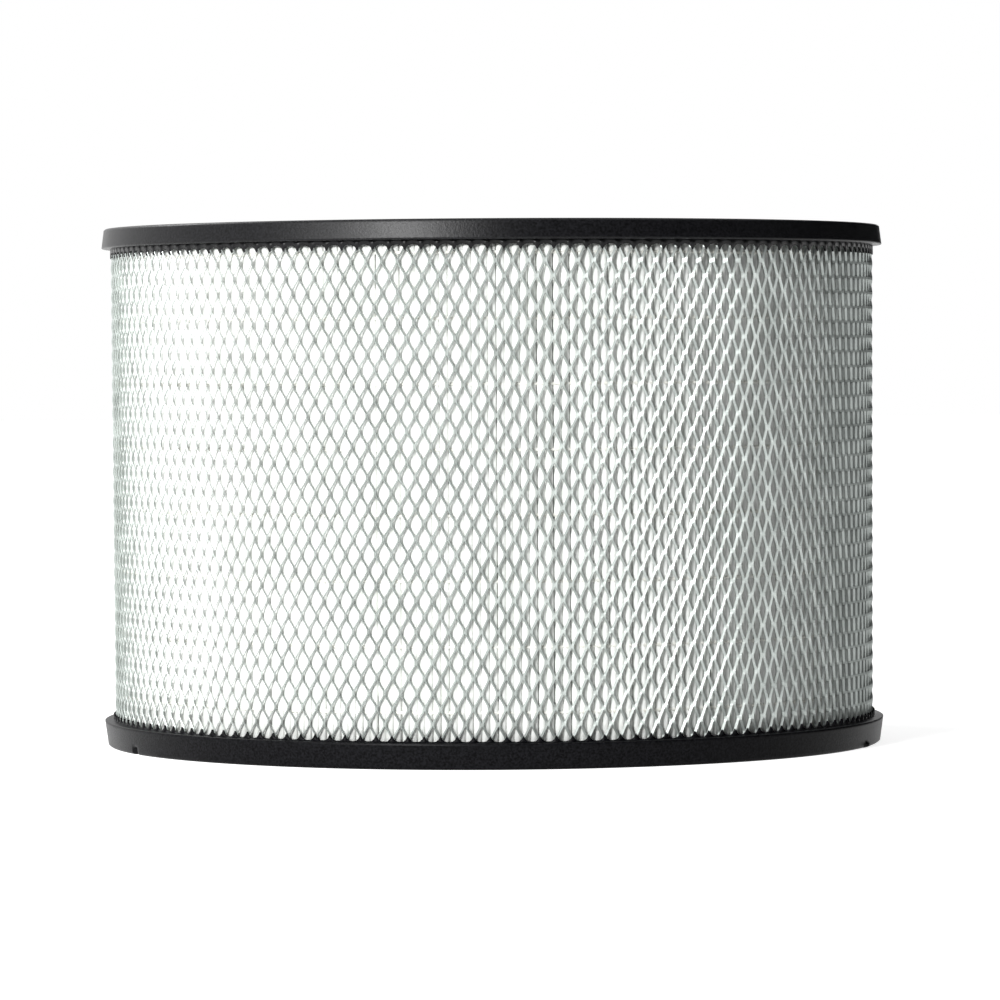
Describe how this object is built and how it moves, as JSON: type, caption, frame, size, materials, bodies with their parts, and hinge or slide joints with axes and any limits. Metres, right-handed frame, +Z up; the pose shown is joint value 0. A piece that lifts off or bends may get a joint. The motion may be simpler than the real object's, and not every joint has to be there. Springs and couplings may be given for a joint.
{
  "type": "cylindrical hepa filter cartridge",
  "caption": "Ring-shaped air filter cartridge: pleated white paper between expanded metal sleeves, potted in black rubber end caps, cleaning air that passes through its wall.",
  "frame": {"origin": "centre of the lower end cap's outer face, which the cartridge stands on", "axes": "+Z up along the cartridge's axis; the picture looks along +Y, with +X to its right"},
  "size_m": [0.3429, 0.3428, 0.226],
  "materials": {
    "cap_rubber": "satin",
    "filter_paper": "matte",
    "glue": "satin",
    "sleeve_metal": "satin"
  },
  "bodies": {
    "root": {"lower_end_cap": "cap_rubber", "upper_end_cap": "cap_rubber", "media_pack": "filter_paper", "media_splice": "glue", "outer_guard": "sleeve_metal", "inner_guard": "sleeve_metal", "outer_bead_1": "glue", "outer_bead_2": "glue", "outer_bead_3": "glue", "outer_bead_4": "glue", "outer_bead_5": "glue", "outer_bead_6": "glue", "outer_bead_7": "glue", "outer_bead_8": "glue", "inner_bead_1": "glue", "inner_bead_2": "glue", "inner_bead_3": "glue", "inner_bead_4": "glue", "inner_bead_5": "glue", "inner_bead_6": "glue", "inner_bead_7": "glue", "inner_bead_8": "glue"}
  },
  "joints": []
}
